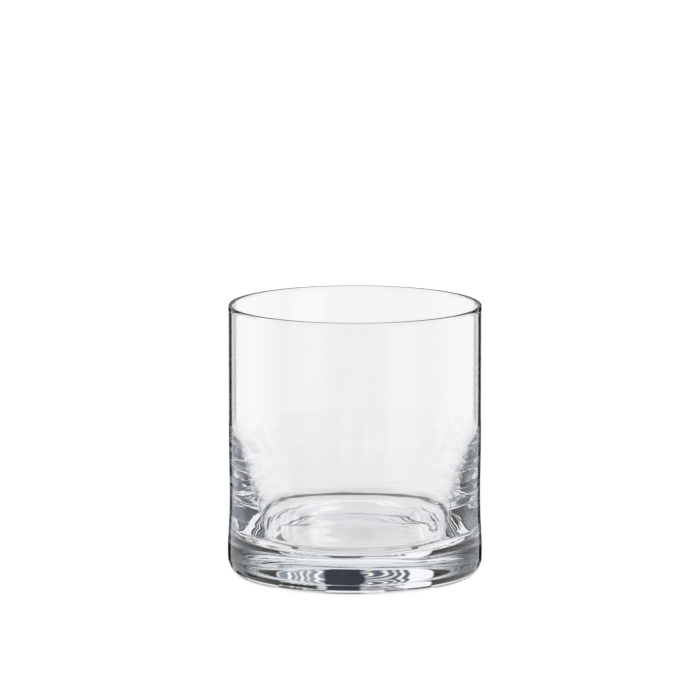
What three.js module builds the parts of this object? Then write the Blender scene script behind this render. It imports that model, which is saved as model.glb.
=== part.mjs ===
// A whiskey tumbler: one piece of clear glass with a thin wall, a heavy foot and an open bowl.
// Millimetres, +Z up. The origin is the centre of the foot, on the surface that the glass stands on.
// The whole shape is one turned outline, so it is drawn as half a section and swept round the Z axis.

import * as THREE from 'three';

// Driving dimensions.
const HEIGHT = 94;
const WALL_RADIUS = 43.4; // outside of the straight wall
const RIM_THICKNESS = 1.2;
const RIM_ROUNDING = 0.35; // height of the rim's flattened half round
const FOOT_CORNER = 7; // how far the rounding between the wall and the underside reaches up and in
const FOOT_CORNER_SQUARENESS = 2.4; // 2 is a round corner, and more is a squarer one
const FOOT_SWELL = 0.4; // how far the foot stands out past the wall
const FOOT_SWELL_HEIGHT = 9;
const FOOT_SWELL_SPREAD = 8;
const WAIST_DEPTH = 0.25; // how far the wall draws in just above the foot
const WAIST_HEIGHT = 29;
const WAIST_SPREAD = 12;

// The bowl: a straight thin wall, a long thickening below it, a tight turn, and a nearly flat floor.
const THIN_WALL_BOTTOM = 53; // height where the wall starts to thicken
const TURN_RADIUS = 35; // bowl radius where the wall turns into the floor
const TURN_HEIGHT = 17;
const TURN_LEAN = 0.24; // radius gained for each millimetre of height, where the turn ends
const FLOOR_RADIUS = 26.5;
const FLOOR_EDGE_HEIGHT = 12.1;
const FLOOR_HEIGHT = 11.7; // at the centre

// How far each end of the bowl's two Bezier curves keeps its own direction.
const THIN_WALL_PULL = 9;
const WALL_FOOT_PULL = 9;
const TURN_TOP_PULL = 3.6;
const TURN_FLOOR_PULL = 4;

// The underside: a round dish inside a narrow flat ring, so that the glass stands without rocking.
const DISH_RADIUS = 35;
const DISH_DEPTH = 3; // at the centre, where it leaves 8.7 of glass under the bowl's floor

// How finely the section's curves and its turn are divided.
const TURN_SEGMENTS = 80;
const DISH_STEPS = 8;
const CORNER_STEPS = 6;
const WALL_STEPS = 12;
const RIM_STEPS = 4;
const THICKENING_STEPS = 9;
const BOWL_TURN_STEPS = 7;
const FLOOR_STEPS = 4;

const vec = (radius, height) => new THREE.Vector2(radius, height);
const bell = (distance, spread) => Math.exp(-((distance / spread) ** 2));

/** Radius of the outside at a height, above the foot's rounded corner. */
function outerRadius(height) {
  const swell = FOOT_SWELL * bell(height - FOOT_SWELL_HEIGHT, FOOT_SWELL_SPREAD);
  const waist = WAIST_DEPTH * bell(height - WAIST_HEIGHT, WAIST_SPREAD);
  return WALL_RADIUS + swell - waist;
}

/** Points of a superellipse between two angles in degrees, both ends included. */
function superellipse(centre, size, squareness, fromDegrees, toDegrees, steps) {
  const bend = (value) => Math.sign(value) * Math.abs(value) ** (2 / squareness);
  const points = [];
  for (let i = 0; i <= steps; i += 1) {
    const angle = THREE.MathUtils.degToRad(THREE.MathUtils.lerp(fromDegrees, toDegrees, i / steps));
    const turned = vec(bend(Math.cos(angle)), bend(Math.sin(angle)));
    points.push(turned.multiply(size).add(centre));
  }
  return points;
}

/** The underside, from the axis out to the edge of its dish. */
function undersideOutline() {
  const points = [];
  for (let i = 0; i <= DISH_STEPS; i += 1) {
    const share = i / DISH_STEPS;
    points.push(vec(DISH_RADIUS * share, DISH_DEPTH * (1 - share ** 2)));
  }
  return points;
}

/** The rounded corner of the foot and the outside of the wall, up to where the rim's rounding starts. */
function outsideOutline() {
  const centre = vec(outerRadius(FOOT_CORNER) - FOOT_CORNER, FOOT_CORNER);
  const size = vec(FOOT_CORNER, FOOT_CORNER);
  const corner = superellipse(centre, size, FOOT_CORNER_SQUARENESS, -90, 0, CORNER_STEPS);
  const top = HEIGHT - RIM_ROUNDING;
  const wall = [];
  for (let i = 1; i <= WALL_STEPS; i += 1) {
    // The steps are closer together low down, where the outline curves.
    const height = THREE.MathUtils.lerp(FOOT_CORNER, top, (i / WALL_STEPS) ** 1.4);
    wall.push(vec(outerRadius(height), height));
  }
  return [...corner, ...wall];
}

/** The fire-polished rim: a half ellipse from the outside of the wall over to the inside. */
function rimOutline() {
  const half = RIM_THICKNESS / 2;
  const bottom = HEIGHT - RIM_ROUNDING;
  const centre = vec(outerRadius(bottom) - half, bottom);
  return superellipse(centre, vec(half, RIM_ROUNDING), 2, 0, 180, RIM_STEPS).slice(1);
}

/** The inside of the bowl, from the bottom of its thin wall down to the centre of the floor. */
function bowlOutline() {
  const thinRadius = outerRadius(THIN_WALL_BOTTOM) - RIM_THICKNESS;
  const thickening = new THREE.CubicBezierCurve(
    vec(thinRadius, THIN_WALL_BOTTOM),
    vec(thinRadius, THIN_WALL_BOTTOM - THIN_WALL_PULL),
    vec(TURN_RADIUS + TURN_LEAN * WALL_FOOT_PULL, TURN_HEIGHT + WALL_FOOT_PULL),
    vec(TURN_RADIUS, TURN_HEIGHT),
  );
  const turn = new THREE.CubicBezierCurve(
    vec(TURN_RADIUS, TURN_HEIGHT),
    vec(TURN_RADIUS - TURN_LEAN * TURN_TOP_PULL, TURN_HEIGHT - TURN_TOP_PULL),
    vec(FLOOR_RADIUS + TURN_FLOOR_PULL, FLOOR_EDGE_HEIGHT),
    vec(FLOOR_RADIUS, FLOOR_EDGE_HEIGHT),
  );
  const floor = new THREE.CubicBezierCurve(
    vec(FLOOR_RADIUS, FLOOR_EDGE_HEIGHT),
    vec(FLOOR_RADIUS * 2 / 3, FLOOR_EDGE_HEIGHT),
    vec(FLOOR_RADIUS / 3, FLOOR_HEIGHT),
    vec(0, FLOOR_HEIGHT),
  );
  return [
    ...thickening.getPoints(THICKENING_STEPS),
    ...turn.getPoints(BOWL_TURN_STEPS).slice(1),
    ...floor.getPoints(FLOOR_STEPS).slice(1),
  ];
}

/** The glass body: the closed half section swept once round the axis. */
function makeTumblerGlass() {
  const section = [...undersideOutline(), ...outsideOutline(), ...rimOutline(), ...bowlOutline()];
  const material = new THREE.MeshStandardMaterial({
    color: 0xe9eef0,
    roughness: 0.03,
    metalness: 0,
    transparent: true,
    opacity: 0.35,
  });
  const geometry = new THREE.LatheGeometry(section, TURN_SEGMENTS);
  geometry.rotateX(Math.PI / 2); // a lathe turns round Y, and the glass stands along Z
  const mesh = new THREE.Mesh(geometry, material);
  mesh.name = 'tumbler_glass';
  return mesh;
}

const tumbler = new THREE.Group();
tumbler.add(makeTumblerGlass());

export default tumbler;
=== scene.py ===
# A clear whiskey tumbler on a plain white studio floor.
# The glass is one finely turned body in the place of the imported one. Metres, +Z up, foot on z = 0.

import math

import bpy
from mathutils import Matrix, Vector, noise


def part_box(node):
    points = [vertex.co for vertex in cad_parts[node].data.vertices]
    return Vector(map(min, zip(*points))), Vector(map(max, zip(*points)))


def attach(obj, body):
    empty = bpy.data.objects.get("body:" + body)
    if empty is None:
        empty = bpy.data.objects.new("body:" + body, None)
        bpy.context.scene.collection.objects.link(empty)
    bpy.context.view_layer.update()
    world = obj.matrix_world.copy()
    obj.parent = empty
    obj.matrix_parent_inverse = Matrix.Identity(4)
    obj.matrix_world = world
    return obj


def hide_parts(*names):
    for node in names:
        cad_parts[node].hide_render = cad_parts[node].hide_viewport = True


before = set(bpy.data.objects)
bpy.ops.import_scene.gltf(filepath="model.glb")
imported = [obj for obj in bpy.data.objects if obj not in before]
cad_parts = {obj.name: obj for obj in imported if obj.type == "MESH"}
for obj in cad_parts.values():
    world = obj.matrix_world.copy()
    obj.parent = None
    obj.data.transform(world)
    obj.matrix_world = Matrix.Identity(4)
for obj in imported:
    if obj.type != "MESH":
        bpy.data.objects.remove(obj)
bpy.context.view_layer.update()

MM = 0.001
CAD_NODE = "tumbler_glass"
LOWEST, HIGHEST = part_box(CAD_NODE)
FOOT_RADIUS = (HIGHEST.x - LOWEST.x) / 2
HEIGHT = HIGHEST.z - LOWEST.z

# The outside.
FOOT_SWELL = 0.4 * MM  # how far the foot stands out past the wall
FOOT_SWELL_HEIGHT = 9 * MM
FOOT_SWELL_SPREAD = 8 * MM
WALL_RADIUS = FOOT_RADIUS - FOOT_SWELL
WAIST_DEPTH = 0.25 * MM  # how far the wall draws in just above the foot
WAIST_HEIGHT = 29 * MM
WAIST_SPREAD = 12 * MM
FOOT_CORNER = 7 * MM  # how far the rounding between the wall and the underside reaches up and in
FOOT_CORNER_SQUARENESS = 2.4  # 2 is a round corner, and more is a squarer one
RIM_THICKNESS = 1.2 * MM
RIM_ROUNDING = 0.35 * MM  # height of the rim's flattened half round

# The bowl: a straight thin wall, a long thickening below it, a tight turn, and a nearly flat floor.
THIN_WALL_BOTTOM = 53 * MM
TURN_RADIUS = 35 * MM
TURN_HEIGHT = 17 * MM
TURN_LEAN = 0.24  # radius gained for each unit of height, where the turn ends
FLOOR_RADIUS = 26.5 * MM
FLOOR_EDGE_HEIGHT = 12.1 * MM
FLOOR_HEIGHT = 11.7 * MM  # at the centre

# How far each end of the bowl's two Bezier curves keeps its own direction.
THIN_WALL_PULL = 9 * MM
WALL_FOOT_PULL = 9 * MM
TURN_TOP_PULL = 3.6 * MM
TURN_FLOOR_PULL = 4 * MM

# The underside: a round dish inside a narrow flat ring.
DISH_RADIUS = 35 * MM
DISH_DEPTH = 3 * MM  # at the centre

# How finely the glass is divided.
TURN_SEGMENTS = 256
DISH_STEPS = 40
CORNER_STEPS = 20
OUTER_WALL_STEPS = 70
OUTER_WALL_CROWDING = 1.4  # above 1, the steps are closer together low down
RIM_STEPS = 12
THIN_WALL_STEPS = 24
THICKENING_STEPS = 120
BOWL_TURN_STEPS = 40
FLOOR_STEPS = 40


# ---------------------------------------------------------------- outline

def bell(distance, spread):
    return math.exp(-((distance / spread) ** 2))


def outer_radius(height):
    """Radius of the outside at a height, above the foot's rounded corner."""
    swell = FOOT_SWELL * bell(height - FOOT_SWELL_HEIGHT, FOOT_SWELL_SPREAD)
    waist = WAIST_DEPTH * bell(height - WAIST_HEIGHT, WAIST_SPREAD)
    return WALL_RADIUS + swell - waist


def superellipse(centre, size, squareness, start, end, steps):
    """Points of a superellipse between two angles in degrees, both ends included."""

    def bend(value):
        return math.copysign(abs(value) ** (2 / squareness), value)

    points = []
    for i in range(steps + 1):
        angle = math.radians(start + (end - start) * i / steps)
        radius = centre[0] + size[0] * bend(math.cos(angle))
        height = centre[1] + size[1] * bend(math.sin(angle))
        points.append((radius, height))
    return points


def bezier(controls, steps):
    """Points of the cubic Bezier curve through four controls, both ends included."""
    points = []
    for i in range(steps + 1):
        t = i / steps
        shares = ((1 - t) ** 3, 3 * t * (1 - t) ** 2, 3 * t * t * (1 - t), t ** 3)
        points.append(tuple(sum(s * c[k] for s, c in zip(shares, controls)) for k in (0, 1)))
    return points


def underside_outline():
    """The underside, from the axis out to the edge of its dish."""
    shares = [i / DISH_STEPS for i in range(DISH_STEPS + 1)]
    return [(DISH_RADIUS * s, DISH_DEPTH * (1 - s * s)) for s in shares]


def outside_outline():
    """The foot's rounded corner and the outside of the wall, up to where the rim's rounding starts."""
    centre = (outer_radius(FOOT_CORNER) - FOOT_CORNER, FOOT_CORNER)
    size = (FOOT_CORNER, FOOT_CORNER)
    points = superellipse(centre, size, FOOT_CORNER_SQUARENESS, -90, 0, CORNER_STEPS)
    top = HEIGHT - RIM_ROUNDING
    for i in range(1, OUTER_WALL_STEPS + 1):
        height = FOOT_CORNER + (top - FOOT_CORNER) * (i / OUTER_WALL_STEPS) ** OUTER_WALL_CROWDING
        points.append((outer_radius(height), height))
    return points


def rim_outline():
    """The fire-polished rim: a half ellipse from the outside of the wall over to the inside."""
    half = RIM_THICKNESS / 2
    bottom = HEIGHT - RIM_ROUNDING
    centre = (outer_radius(bottom) - half, bottom)
    return superellipse(centre, (half, RIM_ROUNDING), 2, 0, 180, RIM_STEPS)[1:]


def bowl_outline():
    """The inside, from the rim down to the centre of the floor."""
    thin_radius = outer_radius(THIN_WALL_BOTTOM) - RIM_THICKNESS
    rim_bottom = HEIGHT - RIM_ROUNDING
    points = []
    for i in range(1, THIN_WALL_STEPS):
        height = rim_bottom + (THIN_WALL_BOTTOM - rim_bottom) * i / THIN_WALL_STEPS
        points.append((outer_radius(height) - RIM_THICKNESS, height))
    points += bezier(
        [
            (thin_radius, THIN_WALL_BOTTOM),
            (thin_radius, THIN_WALL_BOTTOM - THIN_WALL_PULL),
            (TURN_RADIUS + TURN_LEAN * WALL_FOOT_PULL, TURN_HEIGHT + WALL_FOOT_PULL),
            (TURN_RADIUS, TURN_HEIGHT),
        ],
        THICKENING_STEPS,
    )
    points += bezier(
        [
            (TURN_RADIUS, TURN_HEIGHT),
            (TURN_RADIUS - TURN_LEAN * TURN_TOP_PULL, TURN_HEIGHT - TURN_TOP_PULL),
            (FLOOR_RADIUS + TURN_FLOOR_PULL, FLOOR_EDGE_HEIGHT),
            (FLOOR_RADIUS, FLOOR_EDGE_HEIGHT),
        ],
        BOWL_TURN_STEPS,
    )[1:]
    points += bezier(
        [
            (FLOOR_RADIUS, FLOOR_EDGE_HEIGHT),
            (FLOOR_RADIUS * 2 / 3, FLOOR_EDGE_HEIGHT),
            (FLOOR_RADIUS / 3, FLOOR_HEIGHT),
            (0, FLOOR_HEIGHT),
        ],
        FLOOR_STEPS,
    )[1:]
    return points


# ---------------------------------------------------------------- unevenness of blown glass

def smooth(value, nothing, whole):
    """0 at nothing, 1 at whole and smooth between, with the two in either order."""
    t = min(max((value - nothing) / (whole - nothing), 0), 1)
    return t * t * (3 - 2 * t)


def wave(point, flat, tall, seed):
    """Smooth noise from -1 to 1 with its own size level (flat) and upright (tall)."""
    return noise.noise(Vector((point.x / flat + seed, point.y / flat - seed, point.z / tall)))


# Each entry: how deep, how wide round the glass, how tall, and the noise's own seed.
BOWL_RIPPLES = (
    (0.014 * MM, 30 * MM, 1.8 * MM, 3.7),
    (0.030 * MM, 42 * MM, 4.0 * MM, 11.3),
)
FOOT_WAVES = (
    (0.030 * MM, 16 * MM, 4.0 * MM, 21.9),
    (0.080 * MM, 30 * MM, 9.0 * MM, 5.1),
)
UNDERSIDE_WAVES = (
    (0.006 * MM, 11 * MM, 20 * MM, 41.3),
    (0.030 * MM, 24 * MM, 20 * MM, 17.7),
)

# Where the unevenness fades, as heights or radii. Each pair: where it is gone, and where it is whole.
BOWL_RIPPLE_HEIGHTS = (56 * MM, 40 * MM)
BOWL_RIPPLE_RADII = (28 * MM, 34 * MM)
BOWL_FLOOR_RADII = (33 * MM, 27 * MM)
BOWL_FLOOR_SHARE = 0.35  # how much of the underside's waves the bowl's floor has
FOOT_WAVE_TOP = (34 * MM, 12 * MM)
FOOT_WAVE_BOTTOM = (1 * MM, 7 * MM)
UNDERSIDE_RADII = (31 * MM, 26 * MM)


def sum_waves(waves, point):
    return sum(depth * wave(point, flat, tall, seed) for depth, flat, tall, seed in waves)


def unevenness(point, is_bowl):
    """How far the real surface stands off the true outline, along its normal."""
    radius = math.hypot(point.x, point.y)
    if is_bowl:
        lower_wall = smooth(point.z, *BOWL_RIPPLE_HEIGHTS) * smooth(radius, *BOWL_RIPPLE_RADII)
        floor = smooth(radius, *BOWL_FLOOR_RADII)
        floor_waves = BOWL_FLOOR_SHARE * sum_waves(UNDERSIDE_WAVES, point)
        return sum_waves(BOWL_RIPPLES, point) * lower_wall + floor_waves * floor
    foot = smooth(point.z, *FOOT_WAVE_TOP) * smooth(point.z, *FOOT_WAVE_BOTTOM)
    underneath = smooth(radius, *UNDERSIDE_RADII)
    return sum_waves(FOOT_WAVES, point) * foot + sum_waves(UNDERSIDE_WAVES, point) * underneath


# ---------------------------------------------------------------- mesh

def section_normals(section):
    """Unit normals of the outline's points, pointing out of the glass."""
    normals = []
    for i in range(len(section)):
        before = section[max(i - 1, 0)]
        after = section[min(i + 1, len(section) - 1)]
        along = (after[0] - before[0], after[1] - before[1])
        length = math.hypot(*along)
        normals.append((along[1] / length, -along[0] / length))
    return normals


def turned_mesh(name, section, first_bowl_point):
    """A closed mesh of the section turned round Z. Its first and last points lie on the axis."""
    normals = section_normals(section)
    vertices = [(0, 0, section[0][1])]
    for i in range(1, len(section) - 1):
        radius, height = section[i]
        normal = normals[i]
        for k in range(TURN_SEGMENTS):
            angle = 2 * math.pi * k / TURN_SEGMENTS
            point = Vector((radius * math.cos(angle), radius * math.sin(angle), height))
            off = unevenness(point, i >= first_bowl_point)
            out = radius + off * normal[0]
            vertices.append((out * math.cos(angle), out * math.sin(angle), height + off * normal[1]))
    vertices.append((0, 0, section[-1][1]))
    top = len(vertices) - 1
    rings = len(section) - 2
    faces = []
    for k in range(TURN_SEGMENTS):
        following = (k + 1) % TURN_SEGMENTS
        faces.append((0, 1 + following, 1 + k))
        for ring in range(rings - 1):
            low = 1 + ring * TURN_SEGMENTS
            high = low + TURN_SEGMENTS
            faces.append((low + k, low + following, high + following, high + k))
        last = 1 + (rings - 1) * TURN_SEGMENTS
        faces.append((last + k, last + following, top))
    mesh = bpy.data.meshes.new(name)
    mesh.from_pydata(vertices, [], faces)
    mesh.update()
    mesh.shade_smooth()
    return mesh


# ---------------------------------------------------------------- material

def add_node(tree, kind, inputs=None, **settings):
    """A new node, with each input linked to a socket or set to a value."""
    node = tree.nodes.new(kind)
    for key, value in settings.items():
        setattr(node, key, value)
    for key, value in (inputs or {}).items():
        if isinstance(value, bpy.types.NodeSocket):
            tree.links.new(value, node.inputs[key])
        else:
            node.inputs[key].default_value = value
    return node


# Handling leaves patches that are barely less smooth, and the skin is very slightly wavy all over.
GLASS_IOR = 1.52
GLASS_TINT = (0.90, 0.94, 0.95, 1.0)
GLASS_TINT_DENSITY = 6.0
HANDLING_SCALE = 60.0
HANDLING_DETAIL = 3.0
HANDLING_STARTS = 0.45
HANDLING_WHOLE = 0.75
HANDLING_ROUGHNESS = 0.02
SKIN_SCALE = 220.0
SKIN_DETAIL = 1.0
SKIN_STRENGTH = 0.02
SKIN_DEPTH = 0.1 * MM


def clear_glass():
    """Fire-polished soda-lime glass: clear, very faintly cool where it is thick, with a wavy skin."""
    material = bpy.data.materials.new("clear_glass")
    material.use_nodes = True
    tree = material.node_tree
    tree.nodes.clear()
    place = add_node(tree, "ShaderNodeTexCoord").outputs["Object"]
    handling = add_node(
        tree,
        "ShaderNodeTexNoise",
        {"Vector": place, "Scale": HANDLING_SCALE, "Detail": HANDLING_DETAIL},
    )
    roughness = add_node(
        tree,
        "ShaderNodeMapRange",
        {
            "Value": handling.outputs["Fac"],
            "From Min": HANDLING_STARTS,
            "From Max": HANDLING_WHOLE,
            "To Min": 0.0,
            "To Max": HANDLING_ROUGHNESS,
        },
    )
    skin = add_node(
        tree,
        "ShaderNodeTexNoise",
        {"Vector": place, "Scale": SKIN_SCALE, "Detail": SKIN_DETAIL},
    )
    bump = add_node(
        tree,
        "ShaderNodeBump",
        {"Height": skin.outputs["Fac"], "Strength": SKIN_STRENGTH, "Distance": SKIN_DEPTH},
    )
    surface = add_node(
        tree,
        "ShaderNodeBsdfPrincipled",
        {
            "Base Color": (1.0, 1.0, 1.0, 1.0),
            "Roughness": roughness.outputs["Result"],
            "IOR": GLASS_IOR,
            "Transmission Weight": 1.0,
            "Normal": bump.outputs["Normal"],
        },
    )
    volume = add_node(
        tree,
        "ShaderNodeVolumeAbsorption",
        {"Color": GLASS_TINT, "Density": GLASS_TINT_DENSITY},
    )
    output = add_node(tree, "ShaderNodeOutputMaterial")
    tree.links.new(surface.outputs["BSDF"], output.inputs["Surface"])
    tree.links.new(volume.outputs["Volume"], output.inputs["Volume"])
    return material


def make_tumbler():
    """The glass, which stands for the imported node."""
    outside = underside_outline() + outside_outline() + rim_outline()
    section = outside + bowl_outline()
    mesh = turned_mesh("turned_tumbler", section, len(outside))
    tumbler = bpy.data.objects.new("turned_tumbler", mesh)
    bpy.context.scene.collection.objects.link(tumbler)
    mesh.materials.append(clear_glass())
    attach(tumbler, "root")
    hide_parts(CAD_NODE)


# ---------------------------------------------------------------- studio

STAGE_HALF_WIDTH = 4.0
STAGE_DROP = 0.05 * MM  # just under the foot, so that the two surfaces don't share a plane
STAGE_GLOW = 0.93
STAGE_COLOUR = (0.20, 0.20, 0.20, 1.0)

# The world is painted by direction, in degrees. Azimuth 0 is straight ahead of the main camera.

# Brightness of the studio at each elevation in degrees: floor, white sweep, white walls, light ceiling.
STUDIO_LEVELS = (
    (-90, 0.70),
    (-50, 0.75),
    (-28, 0.92),
    (-14, 0.95),
    (-5, 0.95),
    (2, 1.0),
    (65, 1.0),
    (90, 0.70),
)
STUDIO_TINT = (0.995, 0.987, 1.008)
NAVY = (0.010, 0.016, 0.032)
BLACK = (0.018, 0.017, 0.014)
SLATE = (0.08, 0.11, 0.16)
BLUE_GREY = (0.27, 0.33, 0.38)
DARK_SLATE = (0.052, 0.083, 0.112)
TRIM_GREY = (0.16, 0.16, 0.17)
FAR_GREY = (0.40, 0.40, 0.41)
CREAM = (1.15, 1.08, 1.0)

# The half of the room behind the main camera is darker, with a lighter gap in the middle of the view of a
# camera at the back. Each pair: the angle where the darkness starts, and where it is whole.
FAR_MIDDLE = 180
FAR_FADE = (112, 48)
FAR_GAP_MIDDLE = 135
FAR_GAP_FADE = (9, 26)
FAR_FLOOR_FADE = (-85, -60)
FAR_CEILING_FADE = (60, 30)

# Panels round the glass, each over the ones before it. Each: azimuth of its middle, angle at which it
# repeats, how far aside of the middle it starts and ends (from below zero: one panel, otherwise a pair),
# lowest and highest elevation, and its colour.
PANELS = (
    # Just outside the white that a camera sees through the bowl, where they draw the bowl's edges.
    (0, 360, 9, 26, -12.5, 0.5, BLACK),
    (0, 360, 17, 28, -16.5, -12.5, BLACK),
    (-45, 360, 9, 26, -31.0, -21.0, BLACK),
    # At both sides, where the thick lower wall mirrors them.
    (90, 180, 9, 34, -5.5, 0.5, DARK_SLATE),
    (90, 180, -9, 34, 0.5, 26.0, DARK_SLATE),
    # The table's edge, low all round, and the ceiling light's frame.
    (0, 360, -9, 189, -53.5, -49.0, TRIM_GREY),
    (0, 360, -9, 189, 52.0, 55.0, TRIM_GREY),
    # Dark corners between the sides and the ends of the room, and a wide pair behind the main camera. The
    # two ends of the foot show these.
    (0, 90, 27, 46, -5.0, 30.0, BLACK),
    (180, 360, 14, 66, 0.5, 31.0, DARK_SLATE),
)
PANEL_SOFTNESS = 0.7

# Oval reflectors at both ends of the room, which the foot shows as nested crescents. Each is squashed in
# height and cut off at its lowest and highest elevation. Each ring: the side of the reflector's middle that
# it is on, its inner and outer radius in azimuth, and its colour.
REFLECTOR_HEIGHT = 12
REFLECTOR_SQUASH = 1.8
REFLECTOR_LOW = 0.5
REFLECTOR_HIGH = 30.0
RINGS = (
    (1, 0, 27, BLUE_GREY),
    (1, 10.6, 11.9, CREAM),
    (1, 14.0, 14.7, CREAM),
    (1, 16.3, 17.4, CREAM),
    (1, 19.2, 19.9, CREAM),
    (1, 22.0, 23.4, CREAM),
    (-1, 0, 17, SLATE),
    (-1, 3.8, 5.0, CREAM),
    (-1, 7.8, 8.8, CREAM),
    (-1, 10.8, 11.6, CREAM),
    (-1, 13.6, 14.8, CREAM),
)
# The reflectors' dark middle and dark lower corner, in the same form as the panels.
REFLECTOR_CORE = (3.4, 180, -9, 5.2, 0.5, 30.0, NAVY)
REFLECTOR_FOOT = (20, 180, -9, 8, 0.5, 8.5, BLACK)
# How far noise may move the reflectors' outlines, and the noise's own scale and detail.
REFLECTOR_WARP = 3.6
REFLECTOR_WARP_SCALE = 4.0
REFLECTOR_WARP_DETAIL = 1.0


class Shade:
    """Short names for the maths and colour nodes of one node tree.

    Azimuths and elevations that are sockets are in radians. Angles that are numbers are in degrees.
    """

    def __init__(self, tree):
        self.tree = tree

    def maths(self, operation, *values):
        node = self.tree.nodes.new("ShaderNodeMath")
        node.operation = operation
        for socket, value in zip(node.inputs, values):
            if isinstance(value, bpy.types.NodeSocket):
                self.tree.links.new(value, socket)
            else:
                socket.default_value = value
        return node.outputs[0]

    def times(self, one, other):
        return self.maths("MULTIPLY", one, other)

    def aside(self, azimuth, middle, period):
        """How far an azimuth is from the middle, or from the middle plus any number of periods."""
        half = math.radians(period / 2)
        turn = self.maths("SUBTRACT", azimuth, math.radians(middle))
        return self.maths("ABSOLUTE", self.maths("WRAP", turn, half, -half))

    def ease(self, value, low, high):
        """0 at low, 1 at high and smooth between, with the two in either order."""
        inputs = {"Value": value, "From Min": math.radians(low), "From Max": math.radians(high)}
        node = add_node(self.tree, "ShaderNodeMapRange", inputs, interpolation_type="SMOOTHSTEP")
        return node.outputs["Result"]

    def band(self, value, low, high):
        """1 between low and high, with soft edges."""
        above_low = self.ease(value, low - PANEL_SOFTNESS, low + PANEL_SOFTNESS)
        below_high = self.ease(value, high + PANEL_SOFTNESS, high - PANEL_SOFTNESS)
        return self.times(above_low, below_high)

    def paint_panel(self, colour, azimuth, elevation, middle, period, inner, outer, low, high, paint):
        """The colour with one panel painted over it."""
        across = self.band(self.aside(azimuth, middle, period), inner, outer)
        return self.mix(self.times(across, self.band(elevation, low, high)), colour, paint)

    def paint_ring(self, colour, azimuth, elevation, side, inner, outer, paint):
        """The colour with one half ring of both reflectors painted over it."""
        turn = self.maths("WRAP", azimuth, math.radians(90), math.radians(-90))
        rise = self.maths("SUBTRACT", elevation, math.radians(REFLECTOR_HEIGHT))
        rise = self.times(rise, REFLECTOR_SQUASH)
        radius = self.maths("SQRT", self.maths("ADD", self.times(turn, turn), self.times(rise, rise)))
        share = self.times(self.band(radius, inner, outer), self.ease(self.times(turn, side), -1, 1))
        share = self.times(share, self.band(elevation, REFLECTOR_LOW, REFLECTOR_HIGH))
        return self.mix(share, colour, paint)

    def mix(self, share, low, high):
        """The low colour where the share is 0, and the high one where it is 1."""
        node = add_node(self.tree, "ShaderNodeMix", data_type="RGBA")
        # Input 0 of a Mix node is its share. Inputs 6 and 7 and output 2 are its colours.
        for socket, value in zip((node.inputs[0], node.inputs[6], node.inputs[7]), (share, low, high)):
            if isinstance(value, bpy.types.NodeSocket):
                self.tree.links.new(value, socket)
            else:
                socket.default_value = value if isinstance(value, float) else (*value, 1.0)
        return node.outputs[2]


def studio_levels(shade, elevation):
    """The studio's brightness at each elevation."""
    levels = add_node(shade.tree, "ShaderNodeValToRGB")
    levels.color_ramp.interpolation = "EASE"
    share_of_half_turn = shade.maths("MULTIPLY_ADD", elevation, 1 / math.pi, 0.5)
    shade.tree.links.new(share_of_half_turn, levels.inputs["Fac"])
    stops = levels.color_ramp.elements
    stops.remove(stops[1])
    for i, (degrees, level) in enumerate(STUDIO_LEVELS):
        place = (degrees + 90) / 180
        stop = stops[0] if i == 0 else stops.new(place)
        stop.position = place
        stop.color = (*(level * tint for tint in STUDIO_TINT), 1)
    return levels.outputs["Color"]


def far_darkness(shade, azimuth, elevation):
    """How much of the darkness behind the main camera each direction has, from 0 to 1."""
    far = shade.ease(shade.aside(azimuth, FAR_MIDDLE, 360), *FAR_FADE)
    far = shade.times(far, shade.ease(shade.aside(azimuth, FAR_GAP_MIDDLE, 360), *FAR_GAP_FADE))
    far = shade.times(far, shade.ease(elevation, *FAR_FLOOR_FADE))
    return shade.times(far, shade.ease(elevation, *FAR_CEILING_FADE))


def paint_reflectors(shade, colour, direction, azimuth, elevation):
    """The colour with both uneven reflectors painted over it."""
    noise_inputs = {
        "Vector": direction,
        "Scale": REFLECTOR_WARP_SCALE,
        "Detail": REFLECTOR_WARP_DETAIL,
    }
    bends = add_node(shade.tree, "ShaderNodeTexNoise", noise_inputs).outputs["Color"]
    bends = add_node(shade.tree, "ShaderNodeSeparateColor", {"Color": bends}).outputs
    warp = 2 * math.radians(REFLECTOR_WARP)
    turn = shade.maths("MULTIPLY_ADD", bends["Red"], warp, -warp / 2)
    rise = shade.maths("MULTIPLY_ADD", bends["Green"], warp, -warp / 2)
    bent_azimuth = shade.maths("ADD", azimuth, turn)
    bent_elevation = shade.maths("ADD", elevation, rise)
    for ring in RINGS:
        colour = shade.paint_ring(colour, bent_azimuth, bent_elevation, *ring)
    colour = shade.paint_panel(colour, bent_azimuth, elevation, *REFLECTOR_CORE)
    return shade.paint_panel(colour, azimuth, bent_elevation, *REFLECTOR_FOOT)


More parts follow.
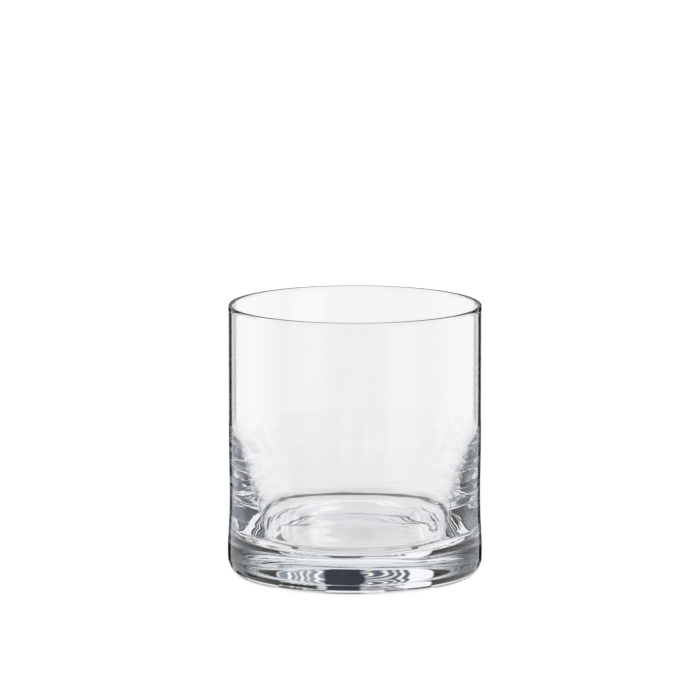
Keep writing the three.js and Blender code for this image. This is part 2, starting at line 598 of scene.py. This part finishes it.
def add_studio_world():
    """Soft studio surroundings, painted by direction, with plain white behind the glass."""
    world = bpy.data.worlds.new("studio")
    bpy.context.scene.world = world
    world.use_nodes = True
    tree = world.node_tree
    tree.nodes.clear()
    shade = Shade(tree)
    direction = add_node(tree, "ShaderNodeTexCoord").outputs["Generated"]
    parts = add_node(tree, "ShaderNodeSeparateXYZ", {"Vector": direction}).outputs
    elevation = shade.maths("ARCSINE", parts["Z"])
    azimuth = shade.maths("ARCTAN2", parts["X"], parts["Y"])

    colour = studio_levels(shade, elevation)
    colour = shade.mix(far_darkness(shade, azimuth, elevation), colour, FAR_GREY)
    for panel in PANELS:
        colour = shade.paint_panel(colour, azimuth, elevation, *panel)
    colour = paint_reflectors(shade, colour, direction, azimuth, elevation)

    seen_directly = add_node(tree, "ShaderNodeLightPath").outputs["Is Camera Ray"]
    colour = shade.mix(seen_directly, colour, (1.0, 1.0, 1.0))
    background = add_node(tree, "ShaderNodeBackground", {"Color": colour})
    output = add_node(tree, "ShaderNodeOutputWorld")
    tree.links.new(background.outputs["Background"], output.inputs["Surface"])


def add_floor():
    """A plain white floor that takes only the softest shadow."""
    w = STAGE_HALF_WIDTH
    mesh = bpy.data.meshes.new("studio_floor")
    mesh.from_pydata([(-w, -w, 0), (w, -w, 0), (w, w, 0), (-w, w, 0)], [], [(0, 1, 2, 3)])
    floor = bpy.data.objects.new("studio_floor", mesh)
    bpy.context.scene.collection.objects.link(floor)
    floor.location.z = -STAGE_DROP
    material = bpy.data.materials.new("studio_white")
    material.use_nodes = True
    tree = material.node_tree
    tree.nodes.clear()
    paint = add_node(tree, "ShaderNodeBsdfDiffuse", {"Color": STAGE_COLOUR})
    glow = add_node(tree, "ShaderNodeEmission", {"Strength": STAGE_GLOW})
    both = add_node(tree, "ShaderNodeAddShader")
    tree.links.new(paint.outputs["BSDF"], both.inputs[0])
    tree.links.new(glow.outputs["Emission"], both.inputs[1])
    output = add_node(tree, "ShaderNodeOutputMaterial")
    tree.links.new(both.outputs["Shader"], output.inputs["Surface"])
    mesh.materials.append(material)
    # The camera alone sees the floor. The glass shows the painted surroundings instead.
    floor.visible_transmission = False
    floor.visible_glossy = False
    floor.visible_diffuse = False


# A long lens, a little above the glass and looking slightly down at it.
CAMERA_PLACE = Vector((-0.0017, -2.27, 0.44))
CAMERA_AIM = Vector((-0.0017, 0, 0.078))
CAMERA_LENS = 345
CAMERA_SENSOR = 36
CAMERA_REACH = 20


def add_camera():
    """The main camera."""
    data = bpy.data.cameras.new("camera")
    data.lens = CAMERA_LENS
    data.sensor_width = CAMERA_SENSOR
    data.clip_end = CAMERA_REACH
    camera = bpy.data.objects.new("camera", data)
    bpy.context.scene.collection.objects.link(camera)
    camera.location = CAMERA_PLACE
    camera.rotation_euler = (CAMERA_AIM - CAMERA_PLACE).to_track_quat("-Z", "Y").to_euler()
    bpy.context.scene.camera = camera


LIGHT_BOUNCES = 24


def set_light_paths():
    """Plain display colours, and enough bounces for light to cross the thick foot."""
    scene = bpy.context.scene
    scene.view_settings.view_transform = "Standard"
    scene.cycles.max_bounces = LIGHT_BOUNCES
    scene.cycles.transmission_bounces = LIGHT_BOUNCES
    scene.cycles.glossy_bounces = LIGHT_BOUNCES


add_camera()
make_tumbler()
add_studio_world()
add_floor()
set_light_paths()
